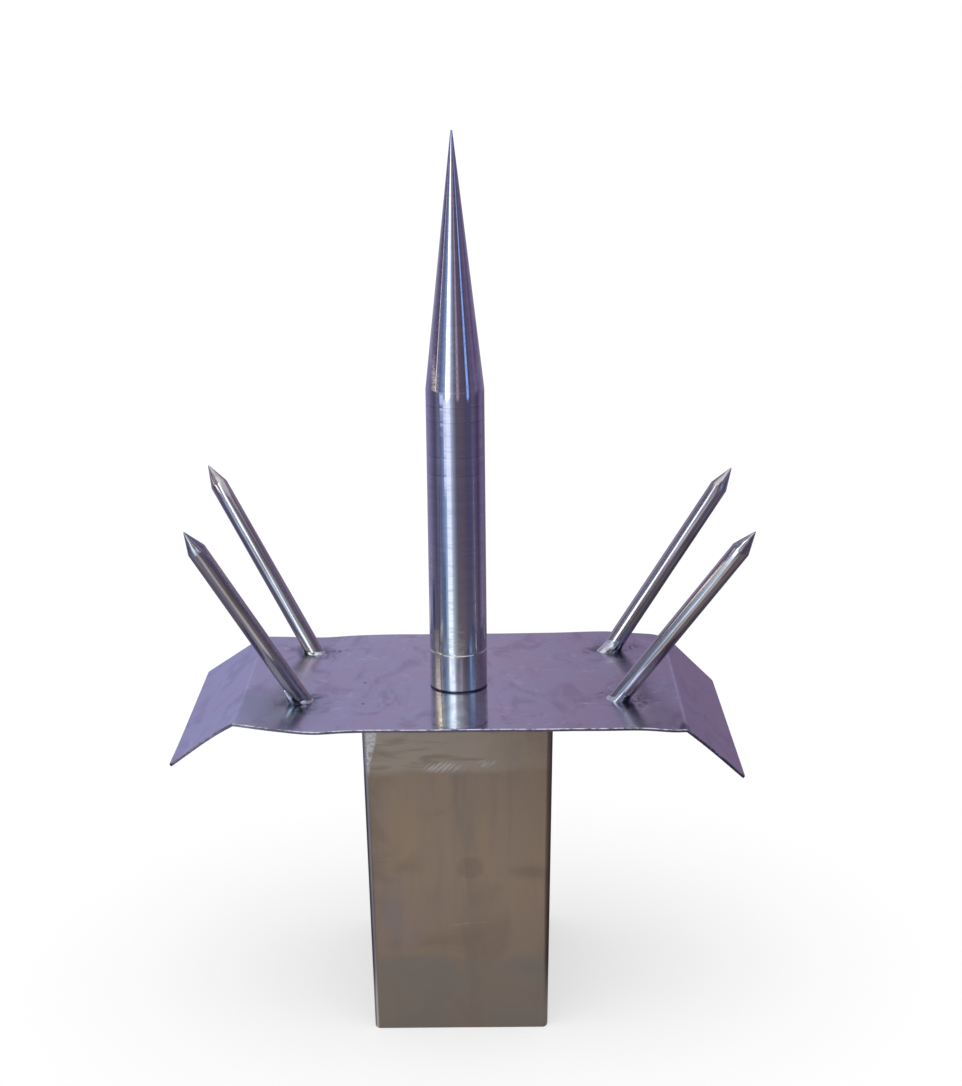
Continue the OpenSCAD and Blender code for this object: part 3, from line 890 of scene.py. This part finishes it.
class DrawRods(bpy.types.Operator):
    """Make the four pointed rods"""
    bl_idname = "lightning_rod.draw_rods"
    bl_label = "Draw rods"

    # Steps along the straight and along the point
    STRAIGHT_STEPS, POINT_STEPS = 12, 8
    # How far the edge between them is eased down, up and in
    EASE_DOWN, EASE_UP, EASE_IN = 0.0003, 0.0001, 0.0001

    def execute(self, context):
        settings = context.scene.lr_rods
        steel = drawn_steel(settings)
        radius, flat, below = settings.diameter / 2, settings.flat / 2, settings.diameter
        for index, corner in enumerate(CORNERS):
            foot, point = rod_axis(corner)
            length = (point - foot).length
            neck = length - settings.point
            straight_end = (radius, neck - self.EASE_DOWN)
            cone_start = (radius - self.EASE_IN, neck + self.EASE_UP)
            profile = [(0.0, -below)]
            profile += stretch((radius, -below), straight_end, self.STRAIGHT_STEPS) + [straight_end]
            profile += stretch(cone_start, (flat, length), self.POINT_STEPS)
            profile += [(flat, length), (0.0, length)]
            bm = turned(profile, settings.sides)
            bar = bm.verts.layers.float_vector.new("bar")
            for vert in bm.verts:
                vert[bar] = vert.co + Vector((0, 0, COVER_HIGH.x * index))
            turn = (point - foot).to_track_quat("Z", "Y").to_matrix().to_4x4()
            bmesh.ops.transform(bm, matrix=Matrix.Translation(foot) @ turn, verts=bm.verts)
            cut = bmesh.ops.bisect_plane(
                bm, geom=bm.verts[:] + bm.edges[:] + bm.faces[:], dist=1e-7,
                plane_co=(0, 0, COVER_TOP), plane_no=(0, 0, -1), clear_outer=True)
            rim = [e for e in cut["geom_cut"] if isinstance(e, bmesh.types.BMEdge)]
            bmesh.ops.edgeloop_fill(bm, edges=rim)
            dressed(written(bm, "drawn_rod_" + corner), steel, "rod_steel", "rod_" + corner)
        return {"FINISHED"}


class RunRodWelds(bpy.types.Operator):
    """Run a weld bead round the foot of each rod"""
    bl_idname = "lightning_rod.run_rod_welds"
    bl_label = "Run rod welds"

    # Power of each bead's slope, hollow above 1, and its lumps: compass angle, width, rim, rise, soot
    LUMPS = {
        # Soot at a bead's foot is partly painted shade; the front left one at 252 degrees is its lump's
        # shadow
        "front_left": (0.5, (
            (217, 22, 0.0017, 0.0062, -1.0), (252, 20, 0.0010, 0.0003, 1.2),
            (298, 20, 0.0006, 0.0007, -0.2))),
        "front_right": (0.6, (
            (205, 40, 0.0005, 0.0004, -0.5), (250, 22, 0.0017, 0.0038, -1.0),
            (294, 24, 0.0012, 0.0020, 0.9))),
        "back_left": (0.7, ((215, 18, 0.0003, 0.0004, 1.0), (285, 45, 0.0004, 0.0005, 0.5))),
        "back_right": (1.5, (
            (210, 40, 0.0015, 0.0050, 0.15), (275, 40, 0.0019, 0.0052, 0.45),
            (325, 16, 0.0006, 0.0030, 1.0))),
    }
    # Steps down a bead's slope and round it, and the height of its plain section's foot
    SLOPE_STEPS, ROUND_STEPS, FOOT = 14, 120, -0.1
    # Pace of the grain and of its finer part, and that part's share
    COARSE, FINE, FINE_SHARE = 3.5, 9.0, 0.6
    # Strength of the grain in the shape and in the soot
    GRAIN, SOOT_GRAIN = 0.10, 0.3
    # Ripples round a bead, how unevenly they come, and their strength
    RIPPLES, UNEVEN, RIPPLE = 16, 3, 0.016

    def execute(self, context):
        settings = context.scene.lr_welds
        metal = weld_metal(settings)
        rod = context.scene.lr_rods.diameter / 2
        section = stretch((1.0, 0.0, 1.0), (2.0, 0.0, 0.0), self.SLOPE_STEPS)
        section += [(2.0, 0.0, 0.0), (2.0, 0.0, self.FOOT), (1.0, 0.0, self.FOOT)]
        for corner in CORNERS:
            foot, point = rod_axis(corner)
            way = (point - foot).normalized()
            lean = way.angle(Vector((0, 0, 1)))
            heading = math.atan2(way.y, way.x)
            bm = bmesh.new()
            spun(bm, chain(bm, section, closed=True), self.ROUND_STEPS)
            soot = bm.verts.layers.float.new("soot")
            for vert in bm.verts:
                vert.co, vert[soot] = self.beaded(vert.co, rod, lean, heading, corner, settings)
            bmesh.ops.translate(bm, verts=bm.verts, vec=foot)
            dressed(written(bm, "weld_bead_" + corner), metal, "weld_metal", "weld_" + corner)
        return {"FINISHED"}

    def beaded(self, co, rod, lean, heading, corner, settings):
        """Moves a point of a plain ring to a lumpy fillet that hugs a leaning rod, and its soot."""
        angle = math.atan2(co.y, co.x)
        power, lumps = self.LUMPS[corner]
        out, up = max(math.hypot(co.x, co.y) - 1.0, 0.0) ** power, co.z
        rim, rise, soot = settings.rim, settings.rise, 0.0
        for compass, width, more_rim, more_rise, more_soot in lumps:
            apart = math.degrees(math.acos(max(-1, min(1, math.cos(angle - math.radians(compass))))))
            share = math.exp(-(apart / width) ** 2)
            rim += more_rim * share
            rise += more_rise * share
            soot += more_soot * share
        around = Vector((math.cos(angle), math.sin(angle), 0.0))
        seed = len(corner)
        grain = noise.noise(around * self.COARSE + Vector((out * 2, up * 2, seed)))
        fine = noise.noise(around * self.FINE + Vector((out * 4, up * 4, 2.0 * seed)))
        grain += self.FINE_SHARE * fine
        ripple = math.sin(angle * self.RIPPLES + self.UNEVEN * math.sin(angle * 2))
        reach = out * rim * (1.0 + self.GRAIN * grain + self.RIPPLE * ripple)
        lift = max(up * rise * (1.0 + self.GRAIN * grain), -settings.sink)
        turned_back = Matrix.Rotation(-heading, 2) @ around.xy
        across = 1 / math.hypot(turned_back.x * math.cos(lean), turned_back.y)
        shift = Vector((math.cos(heading), math.sin(heading))) * math.tan(lean) * max(lift, 0.0)
        flat = around.xy * (rod * across + reach - settings.bite) + shift
        return Vector((flat.x, flat.y, lift)), soot + self.SOOT_GRAIN * grain


class DressTube(bpy.types.Operator):
    """Finish the mount tube"""
    bl_idname = "lightning_rod.dress_tube"
    bl_label = "Dress tube"

    def execute(self, context):
        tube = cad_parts["mount_tube"]
        tube.material_slots[0].material = tube_steel(context.scene.lr_tube)
        return {"FINISHED"}


class RunTubeWelds(bpy.types.Operator):
    """Run the welds between the tube and the cover"""
    bl_idname = "lightning_rod.run_tube_welds"
    bl_label = "Run tube welds"

    # Steps round a bead's section and along each of its ripples
    ROUND_STEPS, RIPPLE_STEPS = 10, 9
    # How far the ripples bow, and the grain's pace along and across a bead
    BOW, PACE_ALONG, PACE_ACROSS = 0.4, 160, 120
    # A bead's share of a plain quarter round, along it and at its ends, with its waves and grain
    FULL, END, WAVE, GRAIN = 0.9, 0.35, 0.045, 0.05
    # Soot of a clean bead, and what waves and grain add to it
    SOOT, SOOT_WAVE, SOOT_GRAIN = -0.2, -0.25, 0.5

    def execute(self, context):
        settings = context.scene.lr_welds
        leg, bite, sink = settings.leg, settings.bite, settings.sink
        arc = [math.pi / 2 * i / self.ROUND_STEPS for i in range(self.ROUND_STEPS + 1)]
        section = [(leg * math.cos(a), -leg * math.sin(a)) for a in arc]
        section += [(-bite, -leg), (-bite, sink), (leg, sink)]
        for side, turn in (("left", math.pi), ("right", 0.0), ("back", math.pi / 2)):
            low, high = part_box("tube_weld_" + side)
            middle = (low + high) / 2
            length = high.x - low.x if side == "back" else high.y - low.y
            stations = int(length / settings.ripple * self.RIPPLE_STEPS)
            bm = bmesh.new()
            outline = chain(bm, [(x, -length / 2, z) for x, z in section], closed=True)
            spun(bm, outline, stations, angle=0.0, along=(0, length / stations, 0))
            bmesh.ops.holes_fill(bm, edges=[e for e in bm.edges if e.is_boundary], sides=0)
            soot = bm.verts.layers.float.new("soot")
            for vert in bm.verts:
                vert.co, vert[soot] = self.rippled(vert.co, length, settings)
            seat = {
                "left": (TUBE_LOW.x, middle.y, COVER_UNDER),
                "right": (TUBE_HIGH.x, middle.y, COVER_UNDER),
                "back": (middle.x, TUBE_HIGH.y, COVER_UNDER)}[side]
            bmesh.ops.transform(
                bm, matrix=Matrix.Translation(seat) @ Matrix.Rotation(turn, 4, "Z"), verts=bm.verts)
            dressed(
                written(bm, "tube_bead_" + side), bpy.data.materials["weld_metal"], "weld_metal",
                "tube_weld_" + side)
        return {"FINISHED"}

    def rippled(self, co, length, settings):
        """Moves a point of a plain quarter round to a rippled bead with round ends, and its soot."""
        bulge = math.sin(2 * math.atan2(max(-co.z, 0.0), max(co.x, 1e-6)))
        wave = math.sin(2 * math.pi * (co.y / settings.ripple + self.BOW * bulge))
        grain = noise.noise(Vector((
            co.y * self.PACE_ALONG, co.x * self.PACE_ACROSS, co.z * self.PACE_ACROSS)))
        end = min(1.0, (length / 2 - abs(co.y)) / settings.leg)
        rounded = self.END + (1 - self.END) * math.sqrt(max(end, 0.0) * (2 - end))
        share = (self.FULL + self.WAVE * wave + self.GRAIN * grain) * rounded
        x = co.x * share if co.x > 0 else co.x
        z = co.z * share if co.z < 0 else co.z
        soot = self.SOOT + self.SOOT_WAVE * wave + self.SOOT_GRAIN * grain
        return Vector((x, co.y, z)), soot


class DressFasteners(bpy.types.Operator):
    """Finish the stud, washer and nut under the cover"""
    bl_idname = "lightning_rod.dress_fasteners"
    bl_label = "Dress fasteners"

    def execute(self, context):
        steel = fastener_steel(context.scene.lr_welds)
        for name in ("spike_stud", "stud_washer", "stud_nut"):
            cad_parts[name].material_slots[0].material = steel
        return {"FINISHED"}


# Stage

# Glows by compass angle, 0 at the front and below 0 to the left, each as a linear colour
TENT_GLOW = (
    (-180, (0.48, 0.415, 0.55)), (-161, (0.46, 0.425, 0.60)), (-150, (0.62, 0.62, 0.78)),
    (-130, (0.47, 0.46, 0.63)), (-100, (0.24, 0.23, 0.35)), (-86, (0.16, 0.16, 0.25)),
    (-70, (0.36, 0.38, 0.50)), (-60, (0.22, 0.29, 0.47)), (-52, (0.36, 0.52, 0.80)),
    (-42, (0.55, 0.80, 1.00)), (-24, (1.50, 1.85, 1.85)), (-16, (0.97, 1.22, 1.32)),
    (-10, (0.62, 0.75, 0.84)), (-4, (0.42, 0.47, 0.50)), (3, (0.25, 0.23, 0.27)),
    (30, (0.23, 0.19, 0.24)), (42, (0.17, 0.16, 0.24)), (60, (0.15, 0.16, 0.27)),
    (72, (0.27, 0.24, 0.34)), (96, (0.13, 0.10, 0.19)), (114, (0.31, 0.27, 0.44)),
    (140, (0.42, 0.37, 0.50)), (150, (0.42, 0.37, 0.50)), (161, (0.38, 0.305, 0.44)),
    (180, (0.48, 0.415, 0.55)))
# The collar's image in the cover mirrors the near ring, and the collar the far one
NEAR_GLOW = (
    (-140, (0.70, 0.65, 0.76)), (-106, (0.65, 0.60, 0.70)), (-94, (1.20, 1.05, 0.75)),
    (-84, (3.20, 2.95, 1.85)), (-73, (4.80, 4.40, 2.80)), (-65, (1.70, 1.75, 1.40)),
    (-56, (0.95, 1.15, 1.10)), (-42, (1.20, 1.70, 1.80)), (-30, (2.90, 3.70, 3.60)),
    (-17, (3.70, 4.70, 4.30)), (-8, (1.60, 2.05, 2.10)), (10, (1.15, 1.32, 1.30)),
    (27, (0.82, 0.94, 0.98)), (42, (0.36, 0.42, 0.58)), (62, (0.47, 0.59, 0.79)),
    (83, (0.40, 0.40, 0.57)), (120, (0.40, 0.34, 0.49)), (145, (0.34, 0.29, 0.42)))
FAR_GLOW = (
    (-140, (0.42, 0.41, 0.51)), (-110, (0.42, 0.41, 0.51)), (-102, (1.60, 1.45, 1.10)),
    (-92, (2.50, 2.15, 1.55)), (-82, (1.70, 1.55, 1.35)), (-72, (0.85, 0.85, 0.82)),
    (-58, (0.26, 0.36, 0.55)), (-46, (0.50, 0.76, 0.95)), (-36, (1.30, 1.80, 1.85)),
    (-27, (2.70, 3.30, 3.10)), (-16, (3.80, 4.20, 3.80)), (-8, (1.00, 1.18, 1.30)),
    (0, (0.72, 0.82, 0.95)), (12, (1.12, 1.04, 1.02)), (20, (0.50, 0.45, 0.50)),
    (30, (0.30, 0.27, 0.33)), (44, (0.27, 0.40, 0.62)), (56, (0.66, 0.92, 1.30)),
    (66, (0.55, 0.72, 1.00)), (76, (0.30, 0.26, 0.36)), (120, (0.26, 0.21, 0.32)),
    (145, (0.18, 0.14, 0.22)))
# Cards before the tent: compass angle and half width in degrees, foot, top and glow
UPRIGHT_CARDS = (
    ("window_low", -27.5, 8.5, 0.0, 0.20, (1.9, 2.2, 2.35)),
    ("window", -30, 6.2, 0.20, 0.75, (4.8, 5.0, 5.2)),
    ("window_high", -23, 5.5, 0.21, 0.75, (2.7, 3.0, 3.2)),
    ("strip", -53, 8.0, 0.17, 0.235, (1.2, 1.45, 1.7)),
    ("window_mid", -41, 4.5, 0.125, 0.20, (1.6, 1.85, 1.95)),
    ("shade_front", -52, 7.0, 0.0, 0.075, (0.20, 0.28, 0.50)),
    ("cream_high", -80, 1.6, 0.255, 0.60, (2.2, 2.1, 1.95)),
    ("shade_low", -109, 8.6, 0.0, 0.055, (0.09, 0.11, 0.24)),
    ("dusk_left", -147, 19.0, 0.05, 0.235, (0.42, 0.41, 0.645)),
    ("dusk_right", 147, 17.0, 0.01, 0.20, (0.285, 0.21, 0.325)),
    ("plum_high", 90, 8.6, 0.22, 0.60, (0.34, 0.26, 0.42)),
    ("rose_high", 11, 5.0, 0.20, 0.60, (0.74, 0.64, 0.70)),
    ("blue_high", 51, 4.5, 0.20, 0.60, (0.70, 1.10, 1.80)))
# Cards on the floor: X of the middle, front, back and glow; half their width, and their height
FLOOR_CARDS = (
    ("floor_front_left", -0.26, -0.38, -0.09, (0.40, 0.40, 0.48)),
    ("floor_back_left", -0.26, -0.09, 0.34, (0.22, 0.22, 0.29)),
    ("floor_front_right", 0.26, -0.38, -0.10, (0.30, 0.27, 0.28)),
    ("floor_back_right", 0.26, -0.10, 0.34, (0.14, 0.135, 0.17)))
FLOOR_CARD_HALF, FLOOR_CARD_HEIGHT = 0.19, 0.002
# Room between things of the stage that would lie in each other
CLEAR = 0.001
# Steps along a ring of light and round the tent, and half the floor's width
GLOW_STEPS, TENT_STEPS, FLOOR_HALF = 72, 96, 6.0


def lit_material(name):
    """A new material with an empty tree, and that tree."""
    material = bpy.data.materials.new(name)
    material.use_nodes = True
    material.node_tree.nodes.clear()
    return material, material.node_tree


def shown(tree, shader):
    """Lets a shader node be the material's surface."""
    put(tree, "ShaderNodeOutputMaterial", {"Surface": shader.outputs[0]})


def plain_glow(name, colour):
    """A glow of one linear colour, for a card that only reflections show."""
    material, tree = lit_material(name)
    shown(tree, put(tree, "ShaderNodeEmission", {"Color": (*colour, 1.0), "Strength": 1.0}))
    return material


def compass_glow(name, stops):
    """A glow that changes by compass angle."""
    material, tree = lit_material(name)
    front_first = place(tree, turn=(0, 0, math.radians(90)))
    compass = put(tree, "ShaderNodeTexGradient", {0: front_first}, gradient_type="RADIAL")
    ramp = put(tree, "ShaderNodeValToRGB", {0: compass.outputs["Fac"]})
    elements = ramp.color_ramp.elements
    elements.remove(elements[1])
    elements[0].position = (stops[0][0] + 180) / 360
    elements[0].color = (*stops[0][1], 1.0)
    for angle, colour in stops[1:]:
        elements.new((angle + 180) / 360).color = (*colour, 1.0)
    shown(tree, put(
        tree, "ShaderNodeEmission", {"Color": ramp.outputs["Color"], "Strength": 1.0}))
    return material


def mirrored(bm, name, material):
    """Makes a thing of the stage that is seen in reflections alone."""
    thing = written(bm, name)
    thing.data.materials.append(material)
    for ray in ("camera", "diffuse", "shadow", "transmission", "volume_scatter"):
        setattr(thing, "visible_" + ray, False)


def card(name, place_at, glow):
    """A glowing card, two units wide before it is placed."""
    bm = bmesh.new()
    bmesh.ops.create_grid(bm, x_segments=1, y_segments=1, size=1.0, matrix=place_at)
    mirrored(bm, name, plain_glow(name, glow))


class SetStage(bpy.types.Operator):
    """Set the camera, floor, lights and the tent that the steel mirrors"""
    bl_idname = "lightning_rod.set_stage"
    bl_label = "Set stage"

    def execute(self, context):
        settings = context.scene.lr_stage
        self.camera(context, settings)
        self.floor(settings)
        self.tent(settings)
        self.shelves(settings)
        self.cards(settings)
        self.lights(context, settings)
        context.scene.view_settings.view_transform = "Standard"
        return {"FINISHED"}

    @staticmethod
    def camera(context, settings):
        data = bpy.data.cameras.new("camera")
        data.sensor_width = 36.0
        data.lens = data.sensor_width * settings.reach
        data.clip_start = 0.01
        eye = bpy.data.objects.new("camera", data)
        turn = (
            Matrix.Rotation(-settings.yaw, 4, "Z")
            @ Matrix.Rotation(math.pi / 2 - settings.pitch, 4, "X")
            @ Matrix.Rotation(settings.roll, 4, "Z"))
        eye.matrix_world = Matrix.Translation(settings.eye) @ turn
        context.scene.collection.objects.link(eye)
        context.scene.camera = eye

    @staticmethod
    def floor(settings):
        """A floor that keeps the shadow and shows a share of plain white to eye and mirrors."""
        bm = bmesh.new()
        bmesh.ops.create_grid(bm, x_segments=1, y_segments=1, size=FLOOR_HALF)
        floor = written(bm, "floor")
        material, tree = lit_material("floor_white")
        matt = put(tree, "ShaderNodeBsdfDiffuse", {"Color": tone(settings.floor)})
        white = put(tree, "ShaderNodeEmission", {"Color": (1.0, 1.0, 1.0, 1.0), "Strength": 1.0})
        path = put(tree, "ShaderNodeLightPath").outputs
        seen = strongest(
            tree, *(path["Is %s Ray" % kind] for kind in ("Camera", "Glossy", "Transmission")))
        lift = times(tree, seen, settings.floor_lift)
        shown(tree, put(
            tree, "ShaderNodeMixShader", {0: lift, 1: matt.outputs[0], 2: white.outputs[0]}))
        floor.data.materials.append(material)

    @staticmethod
    def tent(settings):
        bm = bmesh.new()
        bmesh.ops.create_cone(
            bm, cap_ends=False, segments=TENT_STEPS, radius1=settings.tent_radius,
            radius2=settings.tent_radius, depth=settings.tent_height)
        bmesh.ops.translate(bm, verts=bm.verts, vec=(0, 0, settings.tent_height / 2 + CLEAR))
        mirrored(bm, "tent", compass_glow("tent_cloth", TENT_GLOW))

    @staticmethod
    def shelves(settings):
        """Two flat rings of light over the front."""
        split = settings.shelf_split
        for name, inner, outer, glow in (
                ("shelf_near", split - settings.near_width, split, NEAR_GLOW),
                ("shelf_far", split, split + settings.far_width, FAR_GLOW)):
            start, end = math.radians(glow[0][0]), math.radians(glow[-1][0])
            bm = bmesh.new()
            line = chain(bm, [
                (r * math.sin(start), -r * math.cos(start), settings.shelf_height)
                for r in (inner, outer)])
            spun(bm, line, GLOW_STEPS, angle=end - start)
            mirrored(bm, name, compass_glow(name, glow))

    @staticmethod
    def cards(settings):
        """Narrow cards before the tent and wide ones on the floor."""
        for name, angle, half, low, high, glow in UPRIGHT_CARDS:
            reach = settings.tent_radius * math.cos(math.radians(half)) - CLEAR
            wide = reach * math.sin(math.radians(half))
            turn = Matrix.Rotation(math.radians(angle), 4, "Z") @ Matrix.Translation(
                (0, -reach, (low + high) / 2)) @ Matrix.Rotation(math.pi / 2, 4, "X")
            card(name, turn @ Matrix.Diagonal((wide, (high - low) / 2, 1, 1)), glow)
        for name, x, front, back, glow in FLOOR_CARDS:
            lay = Matrix.Translation((x, (front + back) / 2, FLOOR_CARD_HEIGHT))
            card(name, lay @ Matrix.Diagonal((FLOOR_CARD_HALF, (back - front) / 2, 1, 1)), glow)

    @staticmethod
    def lights(context, settings):
        """A white world and one soft lamp from the front left, above."""
        world = bpy.data.worlds.new("studio")
        world.use_nodes = True
        back = next(n for n in world.node_tree.nodes if n.type == "BACKGROUND")
        back.inputs["Color"].default_value = (1.0, 1.0, 1.0, 1.0)
        back.inputs["Strength"].default_value = 1.0
        context.scene.world = world
        data = bpy.data.lights.new("overhead", "SUN")
        data.angle = settings.lamp_width
        data.energy = settings.lamp_power
        lamp = bpy.data.objects.new("overhead", data)
        lamp.rotation_euler = Vector(settings.lamp_way).to_track_quat("-Z", "Y").to_euler()
        context.scene.collection.objects.link(lamp)


class LightningRodPanel(bpy.types.Panel):
    """Lists the steps that dress the lightning rod"""
    bl_idname = "VIEW3D_PT_lightning_rod"
    bl_label = "Lightning rod"
    bl_space_type = "VIEW_3D"
    bl_region_type = "UI"
    bl_category = "Lightning rod"

    def draw(self, context):
        for step in STEPS:
            self.layout.operator(step.bl_idname)


SETTINGS = {
    "lr_spike": SpikeSettings,
    "lr_cover": CoverSettings,
    "lr_rods": RodSettings,
    "lr_welds": WeldSettings,
    "lr_tube": TubeSettings,
    "lr_stage": StageSettings,
}
STEPS = (
    TurnSpike, FoldCover, DrawRods, RunRodWelds, DressTube, RunTubeWelds, DressFasteners, SetStage)


def register():
    for name, kind in SETTINGS.items():
        bpy.utils.register_class(kind)
        setattr(bpy.types.Scene, name, PointerProperty(type=kind))
    for kind in (*STEPS, LightningRodPanel):
        bpy.utils.register_class(kind)


def unregister():
    for kind in reversed((*STEPS, LightningRodPanel)):
        bpy.utils.unregister_class(kind)
    for name, kind in SETTINGS.items():
        delattr(bpy.types.Scene, name)
        bpy.utils.unregister_class(kind)


def main():
    register()
    bpy.ops.lightning_rod.turn_spike()
    bpy.ops.lightning_rod.fold_cover()
    bpy.ops.lightning_rod.draw_rods()
    bpy.ops.lightning_rod.run_rod_welds()
    bpy.ops.lightning_rod.dress_tube()
    bpy.ops.lightning_rod.run_tube_welds()
    bpy.ops.lightning_rod.dress_fasteners()
    bpy.ops.lightning_rod.set_stage()


if __name__ == "__main__":
    main()
